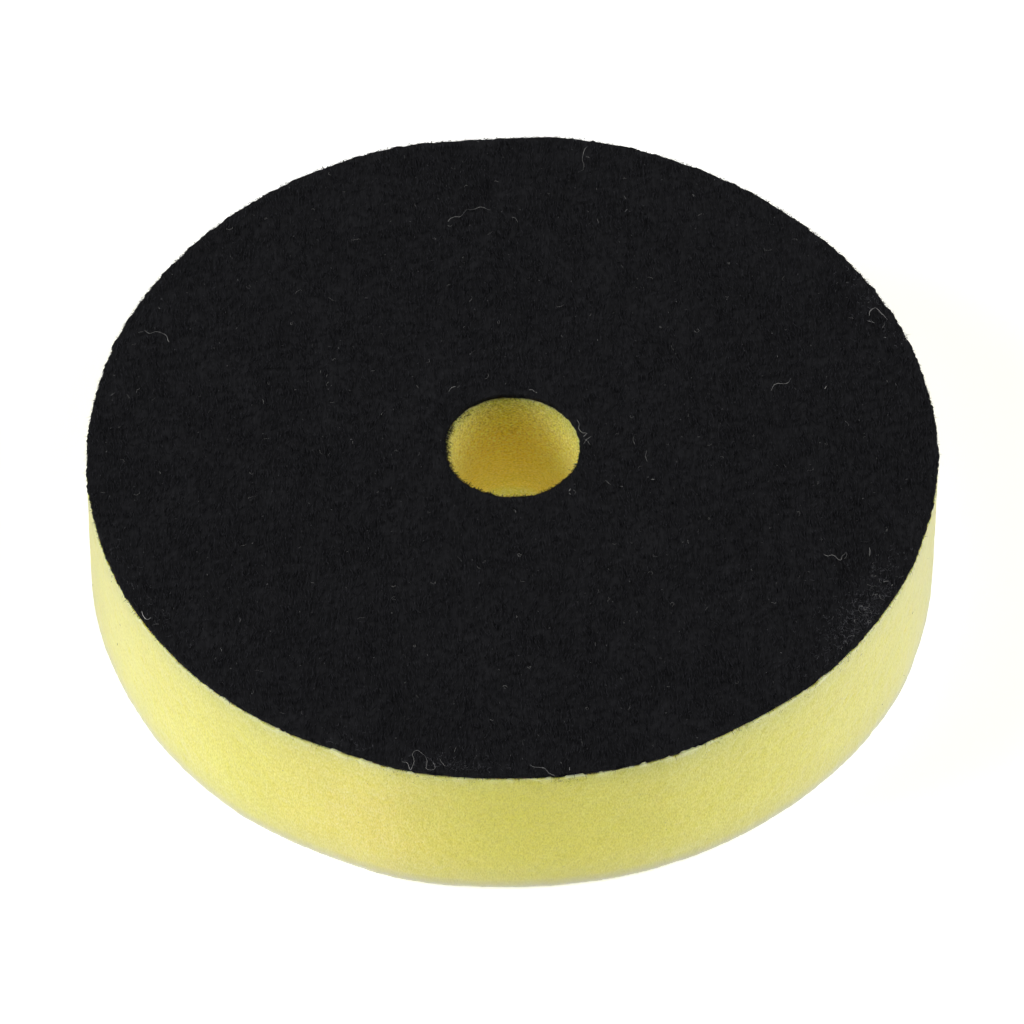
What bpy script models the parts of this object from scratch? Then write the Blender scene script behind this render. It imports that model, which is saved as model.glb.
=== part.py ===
"""Foam polishing pad with a hook-and-loop backing, built as its four bonded layers.

Metres, +Z up. The origin is the centre of the polishing face, which lies on
z = 0; the loop backing is the upper face. From the bottom up:

    foam_disc             open-cell polyurethane foam disc with a centre hole
    adhesive_film         hot-melt film that laminates the cloth to the foam
    backing_ground_cloth  dense warp-knit ground of the loop cloth
    backing_loop_pile     brushed loop pile that the hooks of a plate grip

All four share one round outline and one centre hole, because the real layers
are laminated first and then cut to shape together.
"""

import math

import bmesh
import bpy

# ---- driving dimensions (metres) -------------------------------------------
PAD_DIAMETER = 0.1500
PAD_THICKNESS = 0.0310
HOLE_DIAMETER = 0.0234

PILE_HEIGHT = 0.00080
GROUND_CLOTH_THICKNESS = 0.00035
ADHESIVE_THICKNESS = 0.00015
LAYER_GAP = 0.00005  # clearance between two bonded faces

FOAM_BOTTOM_ROUND = 0.00120  # soft outer edge of the polishing face
FOAM_HOLE_BOTTOM_ROUND = 0.00060  # the hole's mouth in the polishing face
FOAM_TOP_ROUND = 0.00030  # foam edge under the cloth, pinched by the cut
CLOTH_INSET = 0.00010  # the knit ground draws back a little from the cut
FILM_INSET = 0.00015
PILE_EDGE_ROUND = 0.00030

SEGMENTS = 96  # sides of every round outline
ROUND_STEPS = 4  # facets across each rounded edge

# ---- derived heights --------------------------------------------------------
PAD_RADIUS = PAD_DIAMETER / 2
HOLE_RADIUS = HOLE_DIAMETER / 2
PILE_BASE = PAD_THICKNESS - PILE_HEIGHT
GROUND_TOP = PILE_BASE - LAYER_GAP
GROUND_BASE = GROUND_TOP - GROUND_CLOTH_THICKNESS
FILM_TOP = GROUND_BASE - LAYER_GAP
FILM_BASE = FILM_TOP - ADHESIVE_THICKNESS
FOAM_TOP = FILM_BASE - LAYER_GAP


def clear_scene():
    """Removes whatever the file holds at the start."""
    for obj in list(bpy.data.objects):
        bpy.data.objects.remove(obj, do_unlink=True)


def material(name, colour, roughness, metallic=0.0):
    """One Principled material with a linear base colour."""
    mat = bpy.data.materials.new(name)
    mat.use_nodes = True
    shader = mat.node_tree.nodes["Principled BSDF"]
    shader.inputs["Base Color"].default_value = (*colour, 1.0)
    shader.inputs["Roughness"].default_value = roughness
    shader.inputs["Metallic"].default_value = metallic
    mat.diffuse_color = (*colour, 1.0)
    return mat


def corner(radius, height, out_r, out_z, size):
    """Profile points of a rounded corner at (radius, height).

    out_r and out_z say which way the material's outside lies: +1 or -1 along
    the radius and along z. The points run from the face that looks along z to
    the wall that looks along the radius.
    """
    centre_r = radius - out_r * size
    centre_z = height - out_z * size
    points = []
    for step in range(ROUND_STEPS + 1):
        turn = 0.5 * math.pi * step / ROUND_STEPS
        points.append(
            (
                centre_r + out_r * size * math.sin(turn),
                centre_z + out_z * size * math.cos(turn),
            )
        )
    return points


def ring_profile(outer, inner, base, top, rounds):
    """Closed profile of a flat ring, from the top inner edge outwards and down.

    rounds gives the radii of the top outer, bottom outer, bottom inner and top
    inner corners; zero keeps a corner sharp.
    """
    top_out, low_out, low_in, top_in = rounds
    points = []
    points += corner(outer, top, 1, 1, top_out) if top_out else [(outer, top)]
    points += (
        corner(outer, base, 1, -1, low_out)[::-1] if low_out else [(outer, base)]
    )
    points += corner(inner, base, -1, -1, low_in) if low_in else [(inner, base)]
    points += corner(inner, top, -1, 1, top_in)[::-1] if top_in else [(inner, top)]
    return points


def turned_ring(name, profile, mat):
    """Turns a closed profile round the Z axis into one closed body."""
    mesh = bpy.data.meshes.new(name)
    obj = bpy.data.objects.new(name, mesh)
    bpy.context.scene.collection.objects.link(obj)

    bm = bmesh.new()
    rings = []
    for index in range(SEGMENTS):
        angle = 2.0 * math.pi * index / SEGMENTS
        c, s = math.cos(angle), math.sin(angle)
        rings.append([bm.verts.new((r * c, r * s, z)) for r, z in profile])
    count = len(profile)
    for index in range(SEGMENTS):
        here, there = rings[index], rings[(index + 1) % SEGMENTS]
        for k in range(count):
            n = (k + 1) % count
            bm.faces.new((here[k], here[n], there[n], there[k]))
    bmesh.ops.recalc_face_normals(bm, faces=bm.faces)
    bm.to_mesh(mesh)
    bm.free()

    mesh.materials.append(mat)
    mesh.shade_smooth()
    mesh.set_sharp_from_angle(angle=math.radians(35.0))
    return obj


def build():
    clear_scene()
    scene = bpy.context.scene
    scene.unit_settings.system = "METRIC"
    scene.unit_settings.scale_length = 1.0

    yellow_foam = material("yellow_foam", (0.70, 0.64, 0.16), 0.95)
    clear_adhesive = material("clear_adhesive", (0.55, 0.53, 0.40), 0.55)
    black_knit = material("black_knit", (0.012, 0.012, 0.014), 0.90)
    black_pile = material("black_pile", (0.010, 0.010, 0.012), 0.97)

    pad = bpy.data.objects.new("pad_axis", None)
    pad.empty_display_size = 0.02
    scene.collection.objects.link(pad)

    layers = [
        turned_ring(
            "foam_disc",
            ring_profile(
                PAD_RADIUS,
                HOLE_RADIUS,
                0.0,
                FOAM_TOP,
                (
                    FOAM_TOP_ROUND,
                    FOAM_BOTTOM_ROUND,
                    FOAM_HOLE_BOTTOM_ROUND,
                    FOAM_TOP_ROUND,
                ),
            ),
            yellow_foam,
        ),
        turned_ring(
            "adhesive_film",
            ring_profile(
                PAD_RADIUS - FILM_INSET,
                HOLE_RADIUS + FILM_INSET,
                FILM_BASE,
                FILM_TOP,
                (0, 0, 0, 0),
            ),
            clear_adhesive,
        ),
        turned_ring(
            "backing_ground_cloth",
            ring_profile(
                PAD_RADIUS - CLOTH_INSET,
                HOLE_RADIUS + CLOTH_INSET,
                GROUND_BASE,
                GROUND_TOP,
                (0, 0, 0, 0),
            ),
            black_knit,
        ),
        turned_ring(
            "backing_loop_pile",
            ring_profile(
                PAD_RADIUS,
                HOLE_RADIUS,
                PILE_BASE,
                PAD_THICKNESS,
                (PILE_EDGE_ROUND, 0, 0, PILE_EDGE_ROUND),
            ),
            black_pile,
        ),
    ]
    for layer in layers:
        layer.parent = pad


build()
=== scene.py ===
"""Looks of the foam polishing pad: cut foam, laminated loop cloth, brushed pile and its stray fibres.

Everything is in metres in the row frame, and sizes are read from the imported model.
Lengths written in millimetres are multiplied by MM.
"""

import math
import bpy
import numpy as np
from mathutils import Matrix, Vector


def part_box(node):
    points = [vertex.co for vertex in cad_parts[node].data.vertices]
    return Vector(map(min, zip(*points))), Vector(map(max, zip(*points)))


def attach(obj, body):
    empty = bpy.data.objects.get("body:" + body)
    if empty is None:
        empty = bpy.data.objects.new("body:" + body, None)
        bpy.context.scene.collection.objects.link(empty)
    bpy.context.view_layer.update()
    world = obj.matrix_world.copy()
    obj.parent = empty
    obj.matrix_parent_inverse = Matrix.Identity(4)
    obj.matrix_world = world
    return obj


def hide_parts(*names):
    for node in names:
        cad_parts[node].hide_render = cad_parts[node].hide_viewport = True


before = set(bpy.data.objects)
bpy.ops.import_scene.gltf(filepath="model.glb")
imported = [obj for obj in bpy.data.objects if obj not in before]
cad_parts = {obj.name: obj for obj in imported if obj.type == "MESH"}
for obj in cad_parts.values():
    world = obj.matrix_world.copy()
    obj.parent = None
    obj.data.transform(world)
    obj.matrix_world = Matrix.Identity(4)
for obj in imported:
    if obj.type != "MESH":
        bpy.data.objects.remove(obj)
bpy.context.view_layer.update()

MM = 0.001
TAU = 2.0 * math.pi
scene = bpy.context.scene

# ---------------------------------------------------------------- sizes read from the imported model
foam_low, foam_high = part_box("foam_disc")
film_low, film_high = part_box("adhesive_film")
knit_low, knit_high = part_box("backing_ground_cloth")
pile_low, pile_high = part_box("backing_loop_pile")

RADIUS = 0.5 * (foam_high.x - foam_low.x)
FOAM_TOP = foam_high.z
PAD_TOP = pile_high.z


def inner_radius(node):
    """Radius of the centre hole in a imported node."""
    co = np.array([v.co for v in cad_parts[node].data.vertices])
    return float(np.hypot(co[:, 0], co[:, 1]).min())


HOLE = inner_radius("foam_disc")

# ---------------------------------------------------------------- deterministic noise


def _hash(ix, iy, iz, seed):
    with np.errstate(over="ignore"):
        h = (
            ix.astype(np.int64).astype(np.uint32) * np.uint32(0x8DA6B343)
            ^ iy.astype(np.int64).astype(np.uint32) * np.uint32(0xD8163841)
            ^ iz.astype(np.int64).astype(np.uint32) * np.uint32(0xCB1AB31F)
            ^ np.uint32((seed * 0x9E3779B1) & 0xFFFFFFFF)
        )
        h ^= h >> np.uint32(13)
        h *= np.uint32(0x5BD1E995)
        h ^= h >> np.uint32(15)
        h *= np.uint32(0x27D4EB2D)
        h ^= h >> np.uint32(16)
    return (h & np.uint32(0xFFFFFF)).astype(np.float64) / float(0xFFFFFF)


def noise(p, seed=0):
    """Smooth value noise of points (N, 3), from -1 to 1, one feature per unit."""
    base = np.floor(p)
    f = p - base
    f = f * f * f * (f * (f * 6.0 - 15.0) + 10.0)
    out = np.zeros(len(p))
    for dx in (0, 1):
        wx = f[:, 0] if dx else 1.0 - f[:, 0]
        for dy in (0, 1):
            wy = f[:, 1] if dy else 1.0 - f[:, 1]
            for dz in (0, 1):
                wz = f[:, 2] if dz else 1.0 - f[:, 2]
                out += wx * wy * wz * _hash(
                    base[:, 0] + dx, base[:, 1] + dy, base[:, 2] + dz, seed
                )
    return out * 2.0 - 1.0


def fbm(p, octaves, seed=0):
    out, amp, total = np.zeros(len(p)), 1.0, 0.0
    for k in range(octaves):
        out += amp * noise(p * (2.0**k) + 17.3 * k, seed + k)
        total += amp
        amp *= 0.5
    return out / total


# ---------------------------------------------------------------- the outline the layers were cut to
# Offset of the cut from a true circle, in millimetres, at even steps from +X round
# by +Y: the pad was die cut from soft foam, so it isn't quite round.
CUT_CLOTH = [0.34, 0.18, 0.12, 0.17, 0.09, 0.02, -0.09, 0.03, 0.08, 0.23, 0.31, 0.41,
             0.05, -0.0, 0.36, 0.37, 0.25, 0.17, -0.02, -0.15, -0.22, -0.26, -0.44, -0.38,
             -0.28, -0.17, -0.05, 0.12, 0.25, 0.32, 0.51, 0.42, 0.26, -0.06, 0.36, 0.14,
             -0.14, -0.03, 0.06, 0.13, -0.31, -0.26, 0.05, 0.0, 0.01, 0.17, 0.08, 0.3]
CUT_FOAM_BASE = [0.3, 0.33, 0.35, 0.31, 0.25, 0.19, 0.15, 0.16, 0.2, 0.28, 0.35, 0.34,
                 0.3, 0.24, 0.2, 0.28, 0.35, 0.32, 0.25, 0.18, 0.1, 0.05, 0.0, -0.06,
                 -0.1, -0.1, -0.05, -0.04, 0.15, 0.37, 0.57, 0.76, 0.62, 0.67, 0.96, 0.74,
                 0.46, 0.42, 0.54, 0.5, 0.46, 0.48, 0.44, 0.52, 0.55, 0.51, 0.25, 0.26]
HOLE_SHIFT = (0.34 * MM, 0.27 * MM)
HOLE_WAVE = [0.18, 0.23, 0.32, 0.37, 0.39, 0.44, 0.52, 0.60, 0.62, 0.62, 0.56, 0.40,
             0.25, 0.20, 0.22, 0.12, 0.00, -0.08, -0.06, 0.02, 0.04, 0.10, 0.14, 0.20]


def periodic(table, theta):
    """Catmull-Rom interpolation of a closed table of millimetres, in metres."""
    t = np.asarray(table, float) * MM
    n = len(t)
    u = (theta % TAU) / TAU * n
    i = np.floor(u).astype(int)
    f = u - i
    p0, p1, p2, p3 = t[(i - 1) % n], t[i % n], t[(i + 1) % n], t[(i + 2) % n]
    return 0.5 * (
        2 * p1
        + (p2 - p0) * f
        + (2 * p0 - 5 * p1 + 4 * p2 - p3) * f * f
        + (3 * p1 - p0 - 3 * p2 + p3) * f**3
    )


def cut_offset(theta, z):
    """How far the cut outer wall stands off the true circle at height z."""
    h = np.clip(z / FOAM_TOP, 0.0, 1.0)
    h = h * h * (3 - 2 * h)
    dip = -0.42 * MM * np.exp(-(((theta % TAU) - math.radians(94)) / math.radians(7)) ** 2)
    return periodic(CUT_CLOTH, theta) * h + periodic(CUT_FOAM_BASE, theta) * (1 - h) + dip * h


def place(r, theta, z):
    """World points of ring coordinates, with the outline and the hole as they were cut."""
    w = np.clip((r - HOLE) / (RADIUS - HOLE), 0.0, 1.0) ** 2
    hole_side = (1.0 - np.clip((r - HOLE) / (8 * MM), 0.0, 1.0)) ** 2
    rr = r + w * cut_offset(theta, z) + hole_side * periodic(HOLE_WAVE, theta)
    x = rr * np.cos(theta) + (1 - w) * HOLE_SHIFT[0]
    y = rr * np.sin(theta) + (1 - w) * HOLE_SHIFT[1]
    return np.stack([x, y, z], 1)


# ---------------------------------------------------------------- mesh helpers


def mesh_object(name, co, tris, materials, material_index=None, smooth=True):
    """An object of triangles, its faces turned outwards if it is one closed body."""
    co = np.asarray(co, np.float64)
    tris = np.asarray(tris, np.int32)
    a, b, c = co[tris[:, 0]], co[tris[:, 1]], co[tris[:, 2]]
    if np.einsum("ij,ij->i", a, np.cross(b, c)).sum() < 0:
        tris = tris[:, ::-1].copy()
    me = bpy.data.meshes.new(name)
    me.vertices.add(len(co))
    me.vertices.foreach_set("co", co.astype(np.float32).ravel())
    me.loops.add(len(tris) * 3)
    me.loops.foreach_set("vertex_index", tris.ravel())
    me.polygons.add(len(tris))
    me.polygons.foreach_set("loop_start", np.arange(0, len(tris) * 3, 3, dtype=np.int32))
    for mat in materials:
        me.materials.append(mat)
    if material_index is not None:
        me.polygons.foreach_set("material_index", np.asarray(material_index, np.int32))
    me.update(calc_edges=True)
    me.validate()
    if smooth:
        me.shade_smooth()
    obj = bpy.data.objects.new(name, me)
    scene.collection.objects.link(obj)
    return obj


def straight(r0, z0, r1, z1, rows, spacing):
    """Rows of a straight stretch of profile, without its end point: (r, z, nr, nz, spacing)."""
    length = math.hypot(r1 - r0, z1 - z0)
    nr, nz = -(z1 - z0) / length, (r1 - r0) / length
    count = max(1, round(length / rows))
    return [
        (r0 + (r1 - r0) * k / count, z0 + (z1 - z0) * k / count, nr, nz, spacing)
        for k in range(count)
    ]


def bend(cr, cz, radius, a0, a1, rows, spacing, outward=True):
    """Rows of a rounded corner, without its end point. Angles in degrees."""
    count = max(2, round(abs(math.radians(a1 - a0)) * radius / rows))
    out = []
    for k in range(count):
        a = math.radians(a0 + (a1 - a0) * k / count)
        nr, nz = math.cos(a), math.sin(a)
        out.append((cr + radius * nr, cz + radius * nz, nr, nz, spacing))
    return out


def ring_profile(outer, inner, base, top, rounds, rows, spacings, spacing_rows=None):
    """Closed profile of a flat ring: top face, outer wall, bottom face, hole wall.

    rounds: radii of the top outer, bottom outer, bottom inner and top inner corners.
    rows: spacing of rows on those four faces. spacings: the same round the ring.
    """
    to, bo, bi, ti = rounds
    top_rows, wall_rows, base_rows, hole_rows = rows
    top_s, wall_s, base_s, hole_s = spacings
    pts = straight(inner + ti, top, outer - to, top, top_rows, top_s)
    pts += bend(outer - to, top - to, to, 90, 0, min(wall_rows, to / 2), wall_s)
    pts += straight(outer, top - to, outer, base + bo, wall_rows, wall_s)
    pts += bend(outer - bo, base + bo, bo, 0, -90, min(wall_rows, bo / 2), wall_s)
    pts += straight(outer - bo, base, inner + bi, base, base_rows, base_s)
    pts += bend(inner + bi, base + bi, bi, -90, -180, min(hole_rows, bi / 2), hole_s)
    pts += straight(inner, base + bi, inner, top - ti, hole_rows, hole_s)
    pts += bend(inner + ti, top - ti, ti, 180, 90, min(hole_rows, ti / 2), hole_s)
    return pts


def stitch(first, n0, second, n1, phase0, phase1):
    """Triangles between two rings of different counts, walking round both together."""
    tris, i, j = [], 0, 0
    while i < n0 or j < n1:
        next0 = phase0 + (i + 1) / n0
        next1 = phase1 + (j + 1) / n1
        if j >= n1 or (i < n0 and next0 <= next1):
            tris.append((first + i % n0, first + (i + 1) % n0, second + j % n1))
            i += 1
        else:
            tris.append((first + i % n0, second + (j + 1) % n1, second + j % n1))
            j += 1
    return tris


def turned(profile, closed=True):
    """Ring coordinates and triangles of a profile turned about Z.

    Returns arrays r, theta, z, nr, nz, row, and the triangles.
    """
    counts = [max(24, round(TAU * p[0] / p[4])) for p in profile]
    starts = np.concatenate([[0], np.cumsum(counts)[:-1]])
    r, theta, z, nr, nz, row = [], [], [], [], [], []
    phases = []
    for k, (p, n) in enumerate(zip(profile, counts)):
        phase = 0.5 / n if k % 2 else 0.0
        phases.append(phase)
        t = (np.arange(n) / n + phase) * TAU
        r.append(np.full(n, p[0]))
        z.append(np.full(n, p[1]))
        nr.append(np.full(n, p[2]))
        nz.append(np.full(n, p[3]))
        row.append(np.full(n, k))
        theta.append(t)
    tris = []
    last = len(profile) if closed else len(profile) - 1
    for k in range(last):
        m = (k + 1) % len(profile)
        tris += stitch(int(starts[k]), counts[k], int(starts[m]), counts[m], phases[k], phases[m])
    cat = np.concatenate
    return cat(r), cat(theta), cat(z), cat(nr), cat(nz), cat(row), np.array(tris, np.int32)


def spread(a, low, high):
    """0 below low, 1 above high, smooth between."""
    t = np.clip((a - low) / (high - low), 0.0, 1.0)
    return t * t * (3 - 2 * t)


# ---------------------------------------------------------------- materials


class Nodes:
    """Short way to write a node tree."""

    def __init__(self, name):
        self.mat = bpy.data.materials.new(name)
        self.mat.use_nodes = True
        self.tree = self.mat.node_tree
        self.shader = next(n for n in self.tree.nodes if n.type == "BSDF_PRINCIPLED")
        self.coord = self.add("ShaderNodeTexCoord").outputs["Object"]

    def add(self, kind, **values):
        node = self.tree.nodes.new(kind)
        for key, value in values.items():
            if hasattr(node, key):
                setattr(node, key, value)
            else:
                node.inputs[key.replace("_", " ")].default_value = value
        return node

    def link(self, a, b):
        self.tree.links.new(a, b)

    def mapping(self, scale, rotation=(0, 0, 0), source=None):
        node = self.add("ShaderNodeMapping")
        node.inputs["Scale"].default_value = scale
        node.inputs["Rotation"].default_value = rotation
        self.link(source or self.coord, node.inputs["Vector"])
        return node.outputs["Vector"]

    def noise(self, scale, detail=2.0, roughness=0.5, vector=None, distortion=0.0):
        node = self.add("ShaderNodeTexNoise")
        node.inputs["Scale"].default_value = 1.0
        node.inputs["Detail"].default_value = detail
        node.inputs["Roughness"].default_value = roughness
        node.inputs["Distortion"].default_value = distortion
        self.link(vector or self.mapping(scale), node.inputs["Vector"])
        return node.outputs["Fac"]

    def cells(self, scale, feature="F1", randomness=1.0, vector=None):
        node = self.add("ShaderNodeTexVoronoi")
        node.feature = feature
        node.inputs["Scale"].default_value = 1.0
        node.inputs["Randomness"].default_value = randomness
        self.link(vector or self.mapping(scale), node.inputs["Vector"])
        return node

    def ramp(self, source, stops, interpolation="LINEAR"):
        node = self.add("ShaderNodeValToRGB")
        node.color_ramp.interpolation = interpolation
        elements = node.color_ramp.elements
        while len(elements) < len(stops):
            elements.new(0.5)
        for e, (pos, colour) in zip(elements, stops):
            e.position = pos
            e.color = (colour, colour, colour, 1) if isinstance(colour, (int, float)) else (*colour, 1)
        self.link(source, node.inputs["Fac"])
        return node.outputs["Color"]

    def mix(self, kind, fac, a, b):
        node = self.add("ShaderNodeMix")
        node.data_type = "RGBA"
        node.blend_type = kind
        for value, key in ((fac, 0), (a, 6), (b, 7)):
            if hasattr(value, "is_linked"):
                self.link(value, node.inputs[key])
            elif key == 0:
                node.inputs[key].default_value = value
            else:
                node.inputs[key].default_value = (*value, 1) if len(value) == 3 else value
        return node.outputs[2]

    def math(self, operation, a, b=None, c=None, clamp=False):
        node = self.add("ShaderNodeMath")
        node.operation = operation
        node.use_clamp = clamp
        for index, value in enumerate((a, b, c)):
            if value is None:
                continue
            if isinstance(value, (int, float)):
                node.inputs[index].default_value = value
            else:
                self.link(value, node.inputs[index])
        return node.outputs[0]

    def height(self):
        node = self.add("ShaderNodeSeparateXYZ")
        self.link(self.coord, node.inputs[0])
        return node.outputs["Z"]

    def bump(self, height, strength, distance, normal=None):
        node = self.add("ShaderNodeBump")
        node.inputs["Strength"].default_value = strength
        node.inputs["Distance"].default_value = distance
        self.link(height, node.inputs["Height"])
        if normal is not None:
            self.link(normal, node.inputs["Normal"])
        return node.outputs["Normal"]

    def set(self, **values):
        for key, value in values.items():
            self.shader.inputs[key.replace("_", " ")].default_value = value

    def finish(self, colour=None, roughness=None, normal=None):
        if colour is not None:
            self.link(colour, self.shader.inputs["Base Color"])
        if roughness is not None:
            self.link(roughness, self.shader.inputs["Roughness"])
        if normal is not None:
            self.link(normal, self.shader.inputs["Normal"])
        return self.mat


FOAM_LIGHT = (0.838, 0.785, 0.063)
FOAM_DEEP = (0.778, 0.718, 0.035)
# painted light: the far side deep in the hole
FOAM_HOLE_FAR_PAINTED_LIGHT = (0.998, 0.718, 0.055)
# painted light: the middle of the hole, lit through the foam
FOAM_HOLE_MIDDLE_PAINTED_LIGHT = (0.838, 0.668, 0.045)
# painted light: the floor's light at the lower end of the hole
FOAM_HOLE_FLOOR_PAINTED_LIGHT = (0.735, 0.705, 0.112)
FOAM_MOUTH = (0.815, 0.735, 0.062)
# painted light: the far side of the hole's mouth
FOAM_MOUTH_FAR_PAINTED_LIGHT = (0.998, 0.812, 0.054)
# painted light: the sides deep in the hole, lit through the foam
FOAM_HOLE_SIDE_PAINTED_LIGHT = (0.960, 0.805, 0.088)
# painted shade under the cloth
FOAM_PAINTED_SHADE_UNDER_CLOTH = (0.608, 0.606, 0.072)
# painted light along the bottom
FOAM_PAINTED_BOTTOM_LIGHT = (0.565, 0.572, 0.270)
# painted contact shade at the foot of the wall
FOAM_PAINTED_CONTACT_SHADE = (0.490, 0.508, 0.500)
FOAM_WARM = (0.860, 0.735, 0.085)
# painted shade at the middle of the front
FOAM_PAINTED_FRONT_SHADE = (0.768, 0.708, 0.012)
# painted highlight on the torn top edge
FOAM_PAINTED_RIM_HIGHLIGHT = (0.870, 0.885, 0.330)


def foam_material(name, where):
    """Open-cell foam. where is wall, hole or face: how the knife crossed the cells."""
    n = Nodes(name)
    # cells: taller than wide on the cut wall, drawn round the drill in the hole
    cell_scale = {
        "wall": (4500.0, 4500.0, 1850.0),
        "hole": (3000.0, 3000.0, 4200.0),
        "face": (3400.0, 3400.0, 3400.0),
    }[where]
    fine = n.noise(cell_scale, detail=1.0, roughness=0.6)
    pores = n.cells(tuple(s * 0.75 for s in cell_scale)).outputs["Distance"]
    mottle = n.noise((110.0, 110.0, 110.0), detail=3.0, roughness=0.55)
    cloud = n.noise((26.0, 26.0, 40.0), detail=2.0)
    base = n.mix("MIX", n.ramp(cloud, [(0.30, 0.0), (0.72, 1.0)]), FOAM_LIGHT, FOAM_DEEP)
    if where == "hole":
        # painted light: the middle of the hole is painted a deeper yellow, as the light that reaches it has been
        # through the foam
        depth = n.math("MULTIPLY", n.height(), 1.0 / FOAM_TOP)
        base = n.mix("MIX", n.ramp(depth, [(0.02, 0.6), (0.10, 1.0)]), base, FOAM_HOLE_MIDDLE_PAINTED_LIGHT)
        # painted light: near its lower end, where the white floor's light comes up into it, it is painted paler
        # again
        base = n.mix("MIX", n.ramp(depth, [(0.155, 1.0), (0.215, 0.0)]), base, FOAM_HOLE_FLOOR_PAINTED_LIGHT)
        # painted light: the far side of the hole, where the light falls into it, is painted brighter and more
        # orange than its sides
        towards = n.add("ShaderNodeVectorMath")
        towards.operation = "DOT_PRODUCT"
        n.link(n.coord, towards.inputs[0])
        a = math.radians(98)
        towards.inputs[1].default_value = (math.cos(a) / HOLE, math.sin(a) / HOLE, 0.0)
        far_side_painted_light = n.ramp(towards.outputs["Value"], [(0.58, 0.15), (0.83, 0.50), (0.98, 1.0)])
        deep = n.mix("MIX", far_side_painted_light, FOAM_HOLE_SIDE_PAINTED_LIGHT, FOAM_HOLE_FAR_PAINTED_LIGHT)
        mouth = n.mix("MIX", far_side_painted_light, FOAM_MOUTH, FOAM_MOUTH_FAR_PAINTED_LIGHT)
        base = n.mix("MIX", n.ramp(depth, [(0.26, 0.0), (0.52, 1.0)]), base, deep)
        base = n.mix("MIX", n.ramp(depth, [(0.66, 0.0), (0.95, 1.0)]), base, mouth)
    # painted shade just under the cloth, where the dark laminate overhangs the pinched foam and takes the light
    # out of it
    painted_shade_under_cloth = n.ramp(
        n.math("MULTIPLY", n.height(), 1.0 / FOAM_TOP),
        [(0.62, 0.0), (0.80, 0.16), (0.90, 0.48), (0.97, 0.86), (1.0, 1.0)],
    )
    base = n.mix("MIX", painted_shade_under_cloth, base, FOAM_PAINTED_SHADE_UNDER_CLOTH)
    if where == "wall":
        # one side has yellowed a little more
        spot = n.add("ShaderNodeVectorMath")
        spot.operation = "DISTANCE"
        n.link(n.coord, spot.inputs[0])
        a = math.radians(251)
        spot.inputs[1].default_value = (RADIUS * math.cos(a), RADIUS * math.sin(a), 14 * MM)
        warm = n.ramp(
            n.math("MULTIPLY", spot.outputs["Value"], 1.0 / (24 * MM)), [(0.15, 0.85), (1.0, 0.0)]
        )
        base = n.mix("MIX", warm, base, FOAM_WARM)
        # painted shade: next to it the middle of the front, which the two side lights reach least, is painted
        # darker
        painted_front_shade_spot = n.add("ShaderNodeVectorMath")
        painted_front_shade_spot.operation = "DISTANCE"
        n.link(n.coord, painted_front_shade_spot.inputs[0])
        a = math.radians(272)
        painted_front_shade_spot.inputs[1].default_value = (RADIUS * math.cos(a), RADIUS * math.sin(a), 21 * MM)
        amount = n.ramp(
            n.math("MULTIPLY", painted_front_shade_spot.outputs["Value"], 1.0 / (26 * MM)), [(0.10, 0.85), (1.0, 0.0)]
        )
        base = n.mix("MIX", amount, base, FOAM_PAINTED_FRONT_SHADE)
    # dark cells show deeper yellow and light ones paler, as shade in foam does
    grain = n.ramp(
        fine, [(0.27, (0.84, 0.83, 0.02)), (0.50, (1.0, 1.0, 0.90)), (0.73, (1.11, 1.13, 3.5))]
    )
    colour = n.mix("MULTIPLY", 1.0, base, grain)
    # painted shade in the open pores: darker at their middles, a little lighter at their rims
    pit_shade_colour = (0.80, 0.77, 0.10) if where != "hole" else (0.66, 0.60, 0.40)
    painted_pit_shade = n.ramp(pores, [(0.05, pit_shade_colour), (0.30, 0.99), (0.70, 1.08)])
    colour = n.mix("MULTIPLY", 0.55 if where != "hole" else 0.45, colour, painted_pit_shade)
    if where == "hole":
        # towards the cloth the drill left the cells torn open
        torn = n.noise((2600.0, 2600.0, 3300.0), detail=1.5, roughness=0.6)
        torn = n.ramp(
            torn, [(0.30, (0.58, 0.53, 0.20)), (0.46, (0.97, 0.95, 0.88)), (0.68, (1.32, 1.36, 2.4))]
        )
        amount = n.ramp(depth, [(0.40, 0.25), (0.80, 0.9), (1.0, 1.0)])
        colour = n.mix("MULTIPLY", amount, colour, torn)
    colour = n.mix("MULTIPLY", 0.6, colour, n.ramp(mottle, [(0.30, 0.955), (0.70, 1.03)]))
    # rare dark flecks: cut lint caught in open cells
    fleck_cell = n.cells((360.0, 360.0, 360.0))
    keep = n.ramp(
        n.noise((95.0, 95.0, 95.0), detail=0.0), [(0.60, 0.0), (0.66, 1.0)]
    )
    fleck = n.ramp(fleck_cell.outputs["Distance"], [(0.035, 1.0), (0.075, 0.0)])
    colour = n.mix(
        "MIX", n.math("MULTIPLY", n.math("MULTIPLY", fleck, keep), 0.55), colour, (0.22, 0.19, 0.07)
    )
    if where != "hole":
        # painted light: the lowest millimetres are painted a little paler and greyer, for the white floor's light
        # and glare along the bottom
        painted_bottom_light = n.ramp(
            n.math("MULTIPLY", n.height(), 1.0 / (10 * MM)),
            [(0.0, 0.85), (0.12, 0.60), (0.32, 0.34), (0.62, 0.12), (1.0, 0.0)],
        )
        colour = n.mix("MIX", painted_bottom_light, colour, FOAM_PAINTED_BOTTOM_LIGHT)
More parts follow.
